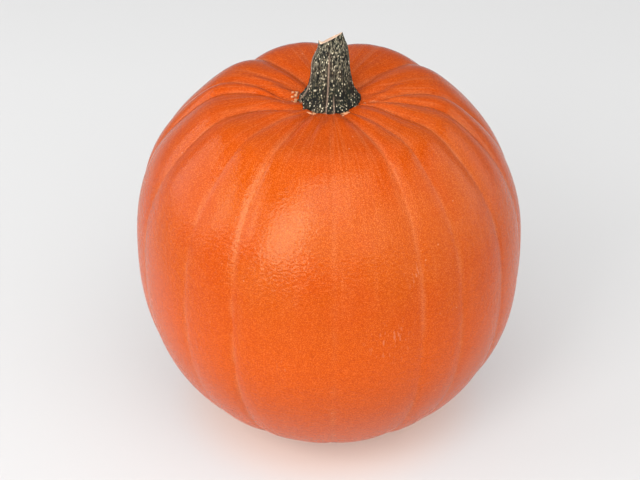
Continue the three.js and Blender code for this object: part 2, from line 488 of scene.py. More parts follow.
@dataclass(frozen=True)
class WaxyRind:
    """Ripe pumpkin rind: a hard orange skin under its own natural wax.

    To the eye the wax gives a soft gloss that dulls at the rims and breaks up on leathery dimples
    and an orange-peel grain. The skin is painted lighter and stronger orange on the belly and at the
    ground, as painted light for the light from the floor and the low lamps on the lower half. The
    folds by the stem are painted redder and darker, partly their own deeper colour and partly
    painted shade. It has pale broken seams, hairlines, small dark pores, pale corky flecks and a few
    scuffs.

    The real grain is a few hundredths of a millimetre and would not show, so the grain, the glints and
    the peel are drawn as coarse as they need to be. The belly-light and ground-light levels say where
    each painted light starts and where it is full; above the smooth levels the dimples fade to a
    share.
    """

    ripe: str = "a84403"
    deep: Tint = Tint("a83e03")
    # belly_light and ground: painted light, a lighter orange on the lower half for the light that
    # reaches it
    belly_light: Tint = Tint("be4a04")
    ground: Tint = Tint("d24e05")
    crown: Tint = Tint("bc4303", 0.7)
    # fold: painted shade in the folds by the stem, over their own redder colour
    fold: Tint = Tint("9b3103", 0.2)
    haze: Tint = Tint("c06736", 0.1)
    streak: Tint = Tint("c06736", 0.16)
    hairline: Tint = Tint("c06736", 0.24)
    seam: Tint = Tint("c1774b", 0.3)
    grain: Tint = Tint("832805", 0.56)
    glint: Tint = Tint("c16936", 0.26)
    pore: Tint = Tint("903005", 0.4)
    fleck: Tint = Tint("c1916c", 0.35)
    scuff: Tint = Tint("c18967", 0.32)
    scar: Tint = Tint("a0774b")
    blotches: Cloud = Cloud(55, 0.38, 0.62)
    hazes: Cloud = Cloud(16, 0.4, 0.75)
    streaks: Cloud = Cloud(5, 0.5, 0.8)
    hairlines: Cloud = Cloud(1.3, 0.5, 0.62)
    seam_gaps: Cloud = Cloud(22, 0.32, 0.68)
    grains: Cloud = Cloud(0.63, 0.62, 0.38)
    glints: Cloud = Cloud(0.63, 0.5, 0.66)
    scratches: Cloud = Cloud(1.8, 0.58, 0.66)
    pores: Specks = Specks(4.5, 0.09, 0.8)
    flecks: Specks = Specks(11, 0.045, 0.5)
    dimples: Bumps = Bumps(2.6, 0.62)
    peel: Bumps = Bumps(1.5, 0.16)
    # levels of the painted light on the belly and at the ground
    belly_light_levels: tuple[float, float] = (190, 101)
    ground_light_levels: tuple[float, float] = (84, 18)
    smooth_levels: tuple[float, float] = (185, 215)
    smooth_share: float = 0.35
    dimple_stretch: float = 1.35
    belly_radius: float = 130
    crown_radius: float = 45
    streak_rise: float = 0.07
    scratch_slant: float = 0.6
    scratch_stretch: float = 0.3
    roughness: tuple[float, float] = (0.12, 0.18)
    roughness_noise: tuple[float, float] = (0.3, 0.7)
    dulling: float = 0.12
    dull_rim: tuple[float, float] = (0.45, 0.95)
    ior: float = 1.4
    bloom: float = 0.3
    wax: str = "e8fac6"

    def material(self) -> bpy.types.Material:
        """Makes the material.

        Returns:
            The material.
        """
        paint = Paint("waxy_rind")
        base = self._specked(paint, self._ground(paint))
        return paint.finish(
            Base_Color=paint.lay(base, self.scar, "scar"),
            Roughness=self._roughness(paint),
            IOR=self.ior,
            Specular_IOR_Level=self.bloom,
            Specular_Tint=colour(self.wax),
            Normal=self._relief(paint),
        )

    def _ground(self, paint: Paint) -> Socket:
        """Gives the clear orange with its blotches, streaks, crown and seams, with painted light on
        the belly and at the ground and painted shade in the folds.

        Args:
            paint: The material.

        Returns:
            The colour.
        """
        blotches = paint.patches(paint.place, self.blotches)
        base = paint.lay(colour(self.ripe), self.deep, blotches)
        base = paint.lay(base, self.haze, paint.patches(paint.place, self.hazes))
        belt = self._ring(paint, self.belly_radius)
        base = paint.lay(base, self.streak, paint.patches(belt, self.streaks))
        # painted light: a lighter orange on the belly and at the ground
        base = paint.lay(base, self.belly_light, self._level(paint, self.belly_light_levels))
        base = paint.lay(base, self.ground, self._level(paint, self.ground_light_levels))
        base = paint.lay(base, self.crown, "crown")
        # painted shade in the folds by the stem, partly their own redder colour
        base = paint.lay(base, self.fold, "crease_colour_and_shade")
        ring = self._ring(paint, self.crown_radius)
        base = paint.lay(base, self.hairline, "brow", paint.patches(ring, self.hairlines))
        return paint.lay(base, self.seam, "seam", paint.patches(paint.place, self.seam_gaps))

    def _level(
        self, paint: Paint, levels: tuple[float, float], start: float = 0.0, end: float = 1.0
    ) -> Socket:
        """Gives a value that goes smoothly from start to end between two levels.

        Args:
            paint: The material.
            levels: The levels where the change starts and ends.
            start: The value at the first level and before it.
            end: The value at the second level and beyond it.

        Returns:
            The value.
        """
        height = paint.add("SeparateXYZ", {0: paint.place}, "Z")
        limits = ramp(levels[0] * MM, levels[1] * MM, start, end)
        return paint.add("MapRange", {"Value": height, **limits}, interpolation_type="SMOOTHSTEP")

    def _ring(self, paint: Paint, radius: float) -> Socket:
        """Draws every place on a ring about the axis, so that patterns run up the fruit.

        A little of the height is left in, which ends the streaks.

        Args:
            paint: The material.
            radius: The ring's radius in millimetres.

        Returns:
            The coordinates on the ring.
        """
        rise = (0, 0, self.streak_rise)
        flat = paint.add("VectorMath", {0: paint.place, 1: (1, 1, 0)}, operation="MULTIPLY")
        outward = paint.add("VectorMath", {0: flat}, operation="NORMALIZE")
        ring = paint.add("VectorMath", {0: outward, "Scale": radius * MM}, operation="SCALE")
        height = paint.add("VectorMath", {0: paint.place, 1: rise}, operation="MULTIPLY")
        return paint.add("VectorMath", {0: ring, 1: height}, operation="ADD")

    def _specked(self, paint: Paint, base: Socket) -> Socket:
        """Adds the grain, the pores, the flecks and the scuffs.

        Args:
            paint: The material.
            base: The colour under them.

        Returns:
            The colour.
        """
        base = paint.lay(base, self.grain, paint.patches(paint.place, self.grains))
        base = paint.lay(base, self.glint, paint.patches(paint.place, self.glints))
        base = paint.lay(base, self.pore, paint.specks(paint.place, self.pores))
        base = paint.lay(base, self.fleck, paint.specks(paint.place, self.flecks))
        turn, stretch = (0, self.scratch_slant, 0), (1, 1, self.scratch_stretch)
        slant = paint.add("Mapping", {"Vector": paint.place, "Rotation": turn, "Scale": stretch})
        return paint.lay(base, self.scuff, "scuff", paint.patches(slant, self.scratches))

    def _roughness(self, paint: Paint) -> Socket:
        """Gives the wax's uneven gloss, which dulls where the skin turns away.

        Args:
            paint: The material.

        Returns:
            The roughness.
        """
        cloud = paint.add("TexNoise", {"Vector": paint.place, "Scale": per(self.hazes.size)})
        limits = ramp(*self.roughness_noise, *self.roughness)
        gloss = paint.add("MapRange", {"Value": cloud, **limits})
        away = paint.add("LayerWeight", out="Facing")
        limits = ramp(*self.dull_rim, 0.0, self.dulling)
        dull = paint.add("MapRange", {"Value": away, **limits}, interpolation_type="SMOOTHSTEP")
        return paint.add("Math", {0: gloss, 1: dull}, operation="ADD")

    def _relief(self, paint: Paint) -> Socket:
        """Gives the leathery dimples, wider than they are high, and the orange-peel grain.

        Args:
            paint: The material.

        Returns:
            The relief.
        """
        share = self._level(paint, self.smooth_levels, 1.0, self.smooth_share)
        stretch = (1, 1, self.dimple_stretch)
        wide = paint.add("Mapping", {"Vector": paint.place, "Scale": stretch})
        dimples = paint.rough_up(None, self.dimples, wide, share)
        return paint.rough_up(dimples, self.peel, paint.place)


@dataclass(frozen=True)
class DriedStem:
    """Dried pumpkin stem: woody and dull, its bark dried hard on the vine.

    To the eye it is dark green with tan and cream flecks strung along it. The grooves are painted
    nearly black, as painted shade; thin pale veins run up it, the tip has dried to cream strokes, and
    the foot has a corky rim. Patterns are drawn out upward by the stretches, which say how much a
    step up counts.
    """

    shade: str = "080a07"
    green: Tint = Tint("1a1f15")
    brown: Tint = Tint("31241b", 0.5)
    tan: Tint = Tint("7b7259", 0.9)
    tip: Tint = Tint("c0b79c", 0.5)
    # groove: painted shade, nearly black in the grooves
    groove: Tint = Tint("080a07", 0.65)
    cream: Tint = Tint("c0b79c")
    vein: Tint = Tint("98806e", 0.9)
    callus: Tint = Tint("bf855d")
    mottles: Cloud = Cloud(2.6, 0.35, 0.65)
    brown_patches: Cloud = Cloud(7, 0.5, 0.62)
    strokes: Cloud = Cloud(0.65, 0.5, 0.6)
    fine_flecks: Specks = Specks(1.2, 0.3, 0.72)
    bold_flecks: Specks = Specks(1.32, 0.25, 0.5)
    fibres: Bumps = Bumps(1.1, 0.4)
    fleck_stretch: float = 0.5
    stroke_stretch: float = 0.16
    fleck_height: float = 0.2
    roughness: float = 0.8
    bloom: float = 0.2

    def material(self) -> bpy.types.Material:
        """Makes the material.

        Returns:
            The material.
        """
        paint = Paint("dried_stem")
        along = self._stretched(paint, self.fleck_stretch)
        strokes = self._stretched(paint, self.stroke_stretch)
        base = paint.lay(colour(self.shade), self.green, paint.patches(along, self.mottles))
        base = paint.lay(base, self.brown, paint.patches(along, self.brown_patches))
        fine = paint.specks(along, self.fine_flecks)
        base = paint.lay(base, self.tan, fine)
        base = paint.lay(base, self.tip, "tip", paint.patches(strokes, self.strokes))
        # painted shade in the grooves
        base = paint.lay(base, self.groove, "groove")
        base = paint.lay(base, self.cream, paint.specks(along, self.bold_flecks))
        base = paint.lay(base, self.vein, "vein")
        base = paint.lay(base, self.callus, "callus")
        relief = paint.rough_up(None, self.fibres, along)
        raised = {"Height": fine, "Distance": self.fleck_height * MM, "Normal": relief}
        return paint.finish(
            Base_Color=base,
            Roughness=self.roughness,
            Specular_IOR_Level=self.bloom,
            Normal=paint.add("Bump", raised),
        )

    def _stretched(self, paint: Paint, share: float) -> Socket:
        """Gives coordinates whose height counts for a share, which draws patterns out upward."""
        return paint.add("Mapping", {"Vector": paint.place, "Scale": (1, 1, share)})


@dataclass(frozen=True)
class CutPith:
    """Cut and dried pumpkin pith at the stem's end.

    To the eye it is pale, matt and fibrous, with a brown hollow where the middle has shrunk; the
    hollow is painted dark, partly its own brown and partly painted shade.
    """

    pith: str = "d8b99e"
    fibre: Tint = Tint("c39276")
    hollow: Tint = Tint("402513")
    fibres: Cloud = Cloud(0.9, 0.45, 0.7)
    rough: Bumps = Bumps(0.9, 0.12)
    roughness: float = 0.8

    def material(self) -> bpy.types.Material:
        """Makes the material.

        Returns:
            The material.
        """
        paint = Paint("cut_pith")
        fibres = paint.patches(paint.place, self.fibres)
        base = paint.lay(colour(self.pith), self.fibre, fibres)
        return paint.finish(
            # the hollow: its own brown and painted shade
            Base_Color=paint.lay(base, self.hollow, "pith_hollow_and_shade"),
            Roughness=self.roughness,
            Normal=paint.rough_up(None, self.rough, paint.place),
        )


# ---- Fruit ----


@dataclass(frozen=True)
class Scuff:
    """A scuffed place on the skin: its azimuth in degrees, level and spread."""

    azimuth: float
    level: float
    spread: float


@dataclass
class Fruit:
    """The ribbed fruit: a superellipse section, fuller above its widest level than below it.

    Furrows run from the stem to the scar underneath. All but the faint ones also part the
    shoulders into lobes. Near the stem they bend, each to its own root at the foot, and draw the
    crown into folds; the roots table gives where each furrow ends up and how deep its fold is.

    Growth is uneven: the back shoulder stands higher than the front one, the right one falls away,
    and the lower right is a little fuller. A rise, fall, fill or depth is the most that a form adds or
    takes away, and its spread says how fast it fades with the radius or the level. A crowding
    says how strongly the mesh's rows or columns crowd where the forms are finest.
    """

    width: float = 260.4
    belly_level: float = 134.7
    crown_rise: float = 117
    base_drop: float = 138
    crown_fullness: float = 2.55
    base_fullness: float = 2.2
    right_fill: float = 1.1
    right_fill_level: float = 78
    right_fill_spread: float = 35
    right_fall: float = 2.4
    right_fall_level: float = 195
    right_fall_spread: float = 38
    shoulder_radius: float = 80
    shoulder_spread: float = 20
    shoulder_rise: float = 6.8
    hollow_depth: float = 10.5
    hollow_spread: float = 27
    back_rise: float = 5.6
    back_rise_spread: float = 40
    scar_radius: float = 15
    scar_depth: float = 3
    scar_tint_radius: float = 7
    furrow_depth: float = 1.3
    furrow_sharpness: float = 5.5
    furrow_fade: float = 0.4
    faint_furrow: float = 0.5
    fold_depth: float = 1.8
    fold_width: float = 4.2
    fold_radius: float = 32
    fold_spread: float = 21
    bend_start: float = 24
    bend_spread: float = 17
    lobe_depth: float = 5.8
    lobe_sharpness: float = 2.5
    lobe_radius: float = 86
    lobe_spread: float = 46
    front_lobe_share: float = 0.25
    seam_depth: float = 0.15
    seam_width: float = 1.9
    stray: float = 1.6
    stray_growth: Growth = Growth(7.3, 60, 0.5)
    drift: float = 2.6
    drift_level: float = 190
    swell: float = 0.5
    swell_size: float = 45
    pucker_depth: float = 0.45
    pucker_spread: float = 42
    pucker_length: float = 60
    pucker_sharpness: float = 2.5
    puckers_round: float = 9
    foot_radius: float = 20
    foot_clearance: float = 10
    crown_tint_radius: float = 75
    brow_radius: float = 55
    brow_spread: float = 45
    brow_strength: float = 1.6
    rows: int = 190
    lobe_columns: int = 22
    row_crowding: float = 0.5
    column_crowding: float = 0.7
    scuffs: tuple[Scuff, ...] = (Scuff(18, 137, 13), Scuff(26, 182, 6), Scuff(-12, 120, 5))
    furrows: Grooves = Grooves(
        (
            *((-161, 0.2), (-140.5, 1.4), (-119, 0.2), (-107.5, 0.9), (-96.5, 1.1)),
            *((-72, 1.3), (-46.5, 0.8), (-29, 1.5), (-14.5, 0.12), (1.5, 0.5)),
            *((28, 1.1), (42, 0.7), (62, 1.3), (82, 1.2), (98, 1.4)),
            *((113, 0.2), (132, 1.1), (155, 0.2), (178, 1.6)),
        )
    )
    roots: Grooves = Grooves(
        (
            *((-161, 0.3), (-140, 0.9), (-114, 1.0), (-87, 1.5), (-79, 0.4)),
            *((-54, 0.6), (-43, 0.5), (-33, 1.0), (-8, 0.9), (7, 0.25)),
            *((24, 0.9), (39, 0.6), (70, 0.5), (75, 0.3), (80, 1.4)),
            *((97, 1.0), (128, 0.6), (155, 0.3), (178, 1.0)),
        )
    )
    rind: WaxyRind = WaxyRind()

    def __post_init__(self) -> None:
        """Works out which furrows part the shoulders."""
        self.parting = self.furrows.stronger(self.faint_furrow)

    def build(self) -> bpy.types.Object:
        """Builds the fruit and dresses it.

        Returns:
            The fruit's object, which stands for the solid body.
        """
        columns = len(self.furrows.places) * self.lobe_columns
        mesh = turned(self.section(), columns)
        names = ("seam", "crease_colour_and_shade", "crown", "brow", "scar", "scuff")
        marks = {name: mesh.verts.layers.float.new(name) for name in names}
        for vert in mesh.verts:
            spot = self.furrows.spot(vert.co, columns, self.column_crowding)
            for name, value in self.marks(spot).items():
                vert[marks[name]] = value
            vert.co = self.skin_point(spot) * MM
        piece = finished(mesh, "fruit", Slot.SKIN, self.rind.material())
        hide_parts("pumpkin_body")
        return piece

    def section(self) -> list[Vector]:
        """Draws the plain section on one side of the axis.

        Returns:
            Its points from the base up to the stem, in metres.
        """
        points = []
        for row in range(self.rows + 1):
            step = row / self.rows
            angle = math.pi * (crowd(step, self.row_crowding) - 0.5)
            rise = self.crown_rise if angle > 0 else self.base_drop
            fullness = self.crown_fullness if angle > 0 else self.base_fullness
            across = (abs(math.cos(angle)) / (self.width / 2)) ** fullness
            reach = (across + (abs(math.sin(angle)) / rise) ** fullness) ** (-1 / fullness)
            radius = 0 if row in (0, self.rows) else reach * math.cos(angle)
            points.append(Vector((radius, 0, self.belly_level + reach * math.sin(angle))) * MM)
        return points

    def skin_point(self, spot: Spot) -> Vector:
        """Grows the skin at a place of the plain section.

        Args:
            spot: The place.

        Returns:
            The point of the skin, in millimetres.
        """
        azimuth = self.azimuth(spot)
        crown = self.crown(spot)
        near_axis = min(1.0, spot.radius / self.scar_radius)
        from_shoulder = spot.radius - self.shoulder_radius
        to_back = max(0.0, -math.cos(azimuth)) * near_axis
        lift = self.shoulder_rise * bell(from_shoulder, self.shoulder_spread)
        lift += self.back_rise * to_back * bell(from_shoulder, self.back_rise_spread)
        lift -= self.hollow_depth * bell(spot.radius, self.hollow_spread)
        to_right = max(0.0, math.sin(azimuth)) * near_axis
        from_fall = spot.height - self.right_fall_level
        fall = self.right_fall * to_right * bell(from_fall, self.right_fall_spread)
        from_fill = spot.height - self.right_fill_level
        fall -= self.right_fill * to_right * bell(from_fill, self.right_fill_spread)
        point = at(spot.radius - fall, azimuth, spot.height + crown * lift)
        inward = (Vector((0, 0, self.belly_level)) - point).normalized()
        furrow = self.furrows.depth(spot.index, spot.share, self.furrow_sharpness)
        relief = self.furrow_depth * furrow * (1 - self.furrow_fade * crown)
        relief += crown * (self.lobe(spot) + self.fold(spot)) + self.fine(spot, point)
        point += inward * near_axis * relief
        hole = max(0.0, 1 - (spot.radius / self.scar_radius) ** 2)
        scar = self.scar_depth * hole if spot.height < self.belly_level else 0.0
        point.z = max(0.0, point.z) + scar
        return point

    def crown(self, spot: Spot) -> float:
        """Gives 0 at the belly and below, rising to 1 at the top."""
        return max(0.0, (spot.height - self.belly_level) / self.crown_rise) ** 2

    def bend(self, spot: Spot) -> float:
        """Gives how far the furrows have bent to their roots: 1 at the stem's foot."""
        past = max(0.0, spot.radius - self.bend_start)
        return bell(past, self.bend_spread) if spot.height >= self.belly_level else 0.0

    def azimuth(self, spot: Spot) -> float:
        """Gives a place's azimuth: the furrows stray a little as they climb.

        Each furrow's number stands for an azimuth in the growth, so that each strays in its own
        way. Below the shoulders they also draw together in front.

        Args:
            spot: The place.

        Returns:
            The azimuth in radians.
        """
        following = (spot.index + 1) % len(self.furrows.places)
        strays = [self.stray_growth.at(furrow, spot.height) for furrow in (spot.index, following)]
        stray = self.stray * self.crown(spot) * blend(*strays, spot.share)
        azimuth = blend(self.furrows.azimuth(spot), self.roots.azimuth(spot), self.bend(spot))
        below = clamp(1 - spot.height / self.drift_level)
        stray -= self.drift * below * math.sin(azimuth) * max(0.0, math.cos(azimuth))
        return azimuth + math.radians(stray)

    def arcs(self, spot: Spot) -> tuple[float, float]:
        """Measures how far it is along the skin to the furrow on either side.

        Args:
            spot: The place.

        Returns:
            The two distances in millimetres.
        """
        widths = self.furrows.width(spot.index), self.roots.width(spot.index)
        arc = math.radians(blend(*widths, self.bend(spot))) * max(spot.radius, 1.0)
        return spot.share * arc, (1 - spot.share) * arc

    def fold(self, spot: Spot) -> float:
        """Gives how deep the folds by the stem are.

        Args:
            spot: The place.

        Returns:
            The depth in millimetres.
        """
        folds = self.roots.places[spot.index][1], self.roots.following(spot.index)[1]
        depth = sum(
            fold * bell(arc, self.fold_width) for fold, arc in zip(folds, self.arcs(spot))
        )
        return self.fold_depth * depth * bell(spot.radius - self.fold_radius, self.fold_spread)

    def lobe(self, spot: Spot) -> float:
        """Gives how far the skin lies below the full roundness of the shoulders.

        Args:
            spot: The place.

        Returns:
            The depth in millimetres.
        """
        azimuth = self.furrows.azimuth(spot)
        growth = blend(self.front_lobe_share, 1, (1 - math.cos(azimuth)) / 2)
        parting = self.parting.depth_at(azimuth, self.lobe_sharpness)
        near = bell(spot.radius - self.lobe_radius, self.lobe_spread)
        return self.lobe_depth * growth * parting * near

    def fine(self, spot: Spot, point: Vector) -> float:
        """Gives the depth of the seams, the puckers at the stem and the uneven swelling.

        Args:
            spot: The place.
            point: The point of the skin without them.

        Returns:
            The depth in millimetres.
        """
        swell = self.swell * (0.5 + 0.5 * noise.noise(point / self.swell_size))
        flat = Vector((point.x, point.y, 0)).normalized() * self.puckers_round
        flat.z = spot.radius / self.pucker_length
        beyond = max(0.0, spot.radius - self.fold_radius)
        band = self.crown(spot) * bell(beyond, self.pucker_spread)
        clear = clamp((spot.radius - self.foot_radius) / self.foot_clearance)
        crest = max(0.0, 1 - self.pucker_sharpness * abs(noise.noise(flat)))
        return swell + self.pucker_depth * band * clear * crest + self.seam_depth * self.seam(spot)

    def seam(self, spot: Spot) -> float:
        """Gives how close a place is to the bottom of a furrow: 1 in it, 0 away from it."""
        near = max(bell(arc, self.seam_width) for arc in self.arcs(spot))
        return min(1.0, self.furrows.depth(spot.index, spot.share, 1.0)) * near

    def marks(self, spot: Spot) -> dict[str, float]:
        """Marks where each finish shows.

        Args:
            spot: The place.

        Returns:
            How strongly each finish shows there, from 0 to 1, by its name.
        """
        crown = self.crown(spot)
        turn = math.degrees(self.furrows.azimuth(spot))
        scuffs = (
            bell(math.radians(turn - scuff.azimuth) * spot.radius, scuff.spread)
            * bell(spot.height - scuff.level, scuff.spread)
            for scuff in self.scuffs
        )
        below = spot.height < self.belly_level
        brow = min(1.0, self.brow_strength * crown)
        return {
            "seam": self.seam(spot),
            # the folds' painted shade and redder colour: how deep the fold is near the stem
            "crease_colour_and_shade": min(1.0, crown * self.fold(spot) / self.fold_depth),
            "crown": crown * bell(spot.radius, self.crown_tint_radius),
            "brow": brow * bell(spot.radius - self.brow_radius, self.brow_spread),
            "scar": bell(spot.radius, self.scar_tint_radius) if below else 0.0,
            "scuff": max(scuffs),
        }


# ---- Stem ----


@dataclass(frozen=True)
class Vein:
    """A pale line up the stem: its azimuth in degrees, width, level of its end and strength."""

    azimuth: float
    width: float
    top: float
    strength: float


@dataclass(frozen=True)
class Scab:
    """A corky flake on the skin beside the foot: where it lies and how large it is."""

    azimuth: float
    radius: float
    length: float
    width: float
    thickness: float


@dataclass
class Stem:
    """The dried stem: a flared, scalloped foot, a grooved shaft and an oblique cut.

    The stem leans to the right, tapers and draws back at the tip, and bulges a little to the left
    below it. The foot follows the skin under it, with a corky rim and flakes beside it. The cut face
    has a fibrous hollow, and its left edge is torn up into a lip.
    """

    start: float = 236
    foot_level: float = 245.5
    ground_reach: float = 8
    cut_level: float = 288.4
    start_radius: float = 15.6
    top_radius: float = 9.8
    flare: float = 6.3
    flare_height: float = 6.3
    lean: float = 1.6
    tip_taper: float = 2
    tip_pull: float = 0.8
    tip_height: float = 7
    left_bulge: float = 1.8
    bulge_level: float = 275
    bulge_spread: float = 12
    groove_sharpness: float = 3
    foot_groove: float = 0.15
    shaft_groove: float = 0.11
    fibre_depth: float = 0.3
    wart_depth: float = 0.4
    full_relief_radius: float = 6
    cut_slope: tuple[float, float] = (0.6, -0.4)
    rim_round: float = 0.25
    pith_at: tuple[float, float] = (2.4, 3.4)
    pith_radius: float = 1.9
    pith_depth: float = 3.0
    torn_azimuth: float = -98
    torn_width: float = 22
    torn_height: float = 2.6
    torn_least: float = 0.7
    torn_reach: tuple[float, float] = (1.2, 1.5)
    sink: float = 0.4
    skin_step: float = 2.5
    clear_level: float = 400
    callus_height: float = 0.5
    callus_strength: float = 3
    callus_gap: float = 0.05
    gap_height: float = 0.7
    tip_start: float = 0.35
    tip_reach: float = 0.5
    vein_fade: float = 8
    flake_raggedness: float = 0.8
    flake_waves: float = 3.5
    rows: int = 110
    face_rows: int = 16
    ridge_columns: int = 18
    column_crowding: float = 0.4
    fibres: Growth = Growth(9, 14, 3.1)
    warts: Growth = Growth(15, 3.2, 8.4)
    tears: Growth = Growth(14, 1, 0)
    gaps: Growth = Growth(5, 1, 0.2)
    grooves: Grooves = Grooves(
        (
            *((-146, 1), (-112, 0.9), (-76, 1.1), (-40, 1), (-9, 1.2), (13, 0.9)),
            *((44, 1), (79, 1.1), (112, 0.9), (147, 1), (180, 1.1)),
        ),
        0.05,
    )
    veins: tuple[Vein, ...] = (
        Vein(-8, 0.45, 282, 0.8),
        Vein(8, 0.4, 256, 0.9),
        Vein(-84, 0.6, 292, 0.7),
    )
    scabs: tuple[Scab, ...] = (
        Scab(-108, 22.6, 3.4, 2.2, 1.4),
        Scab(-103, 24.6, 2.8, 2.0, 1.2),
        Scab(-99, 22.2, 3.8, 2.4, 1.5),
        Scab(-95, 24.2, 2.6, 2.2, 1.1),
        Scab(-91, 22.2, 3.6, 2.6, 1.4),
        Scab(-87, 24.4, 3.0, 2.0, 1.2),
        Scab(-83, 22.2, 3.4, 2.4, 1.4),
        Scab(-78, 23.2, 2.8, 2.0, 1.1),
        Scab(-36, 21.8, 4.4, 1.8, 1.1),
        Scab(-27, 21.4, 3.4, 1.8, 1.0),
        Scab(31, 21.8, 5.0, 2.2, 1.2),
        Scab(24, 22.2, 3.0, 1.6, 0.9),
        Scab(79, 23.0, 3.4, 1.9, 1.1),
    )
    bark: DriedStem = DriedStem()
    cut: CutPith = CutPith()

    def build(self, fruit: bpy.types.Object) -> bpy.types.Object:
        """Builds the stem on the fruit and dresses it.

        Args:
            fruit: The fruit that the stem grows from.

        Returns:
            The stem's object, which stands for the solid stem.
        """
        skin = BVHTree.FromObject(fruit, bpy.context.evaluated_depsgraph_get())
        columns = len(self.grooves.places) * self.ridge_columns
        mesh = turned(self.section(), columns)
        names = ("groove", "tip", "callus", "vein", "pith_hollow_and_shade", "cut")
        marks = {name: mesh.verts.layers.float.new(name) for name in names}
        for vert in mesh.verts:
            spot = self.grooves.spot(vert.co, columns, self.column_crowding)
            point = self.bark_point(spot)
            ground = self.ground(point, skin)
            point.z = max(point.z, ground - self.sink)
            for name, value in self.marks(spot, point, ground).items():
                vert[marks[name]] = value
            vert.co = point * MM
        for scab in self.scabs:
            self.add_scab(mesh, scab, skin, marks["callus"])
        for face in mesh.faces:
            face.material_index = int(all(vert[marks["cut"]] > 0.5 for vert in face.verts))
        materials = self.bark.material(), self.cut.material()
        piece = finished(mesh, "stem_peduncle", Slot.STEM, *materials)
        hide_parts("stem")
        return piece

    def section(self) -> list[Vector]:
        """Draws the section: up the outside to the cut, then in over its face to the axis.

        Returns:
            Its points, in metres.
        """
        points = [Vector((0, 0, self.start))]
        for row in range(self.rows + 1):
            share = row / self.rows
            height = blend(self.start, self.cut_level, share)
            radius = blend(self.start_radius, self.top_radius, share)
            radius += self.flare * self.foot_share(height)
            radius -= self.tip_taper * bell(self.cut_level - height, self.tip_height)
            points.append(Vector((radius, 0, height)))
        for row in range(self.face_rows + 1):
            share = 1 - row / self.face_rows
            points.append(Vector((self.rim * share, 0, self.cut_level + self.rim_round)))
        return [point * MM for point in points]

    @property
    def rim(self) -> float:
        """The radius of the cut face."""
        return self.top_radius - self.tip_taper - self.rim_round

    def climb(self, height: float) -> float:
        """Gives the share of the stem's height that is below a level."""
        return (height - self.start) / (self.cut_level - self.start)

    def foot_share(self, height: float) -> float:
        """Gives how much of the foot's flare is left at a level: 1 at the skin and below."""
        return math.exp(-max(0.0, height - self.foot_level) / self.flare_height)

    def lean_at(self, height: float) -> float:
        """Gives how far the stem's middle stands to the right at a level."""
        pull = self.tip_pull * bell(self.cut_level - height, self.tip_height)
        return self.lean * self.climb(height) - pull

    def bark_point(self, spot: Spot) -> Vector:
        """Grows the bark, or the cut face, at a place of the plain section.

        Args:
            spot: The place.

        Returns:
            The point of the stem, in millimetres.
        """
        azimuth = self.grooves.azimuth(spot)
        groove = blend(self.shaft_groove, self.foot_groove, self.foot_share(spot.height))
        depth = self.grooves.depth(spot.index, spot.share, self.groove_sharpness)
        relief = self.fibre_depth * self.fibres.at(azimuth, spot.height)
        relief += self.wart_depth * max(0.0, self.warts.at(azimuth, spot.height))
        relief *= min(1.0, spot.radius / self.full_relief_radius)
        point = at(spot.radius * (1 - groove * depth) + relief, azimuth, spot.height)
        if self.in_cut(spot):
            aside = Vector(self.pith_at) - point.to_2d()
            point.z -= self.pith_depth * bell(aside.length, self.pith_radius)
        slope = self.cut_slope[0] * point.x + self.cut_slope[1] * point.y
        point.z += self.climb(spot.height) ** 3 * slope
        point.z += self.torn(spot, azimuth)
        leftward = max(0.0, -math.sin(azimuth)) * min(1.0, spot.radius / self.top_radius)
        from_bulge = spot.height - self.bulge_level
        point.x -= self.left_bulge * leftward * bell(from_bulge, self.bulge_spread)
        point.x += self.lean_at(spot.height)
        return point

    def torn(self, spot: Spot, azimuth: float) -> float:
        """Gives how high the torn lip stands above the cut.

        Args:
            spot: The place.
            azimuth: Its azimuth in radians.

        Returns:
            The height in millimetres.
        """
        turn = (math.degrees(azimuth) - self.torn_azimuth + 180) % 360 - 180
        edge = bell(spot.radius - self.rim, self.torn_reach[0])
        edge *= bell(self.cut_level - spot.height, self.torn_reach[1])
        edge *= bell(turn, self.torn_width)
        return self.torn_height * edge * (self.torn_least + self.tears.at(azimuth, 0))

    def ground(self, point: Vector, skin: BVHTree) -> float:
        """Finds the level of the skin under a point, evened out over its small folds.

        Args:
            point: The point in millimetres.
            skin: The fruit's skin.

        Returns:
            The level in millimetres, or the foot's own level for a point far above it.
        """
        if point.z > self.foot_level + self.ground_reach:
            return self.foot_level
        radius = max(1.0, point.to_2d().length)
        azimuth = math.atan2(point.x, -point.y)
        turns = [azimuth + step * self.skin_step / radius for step in range(-2, 3)]
        levels = [self.skin_below(radius, turn, skin).z / MM for turn in turns]
        return sum(levels) / len(levels)

    def skin_below(self, radius: float, azimuth: float, skin: BVHTree) -> Vector:
        """Finds the point of the skin, in metres, straight below a place high above it."""
        above = at(radius, azimuth, self.clear_level) * MM
        return skin.ray_cast(above, Vector((0, 0, -1)))[0]

    def in_cut(self, spot: Spot) -> bool:
        """Tells whether a place of the plain section is on the cut face."""
        return spot.height > self.cut_level + self.rim_round / 2

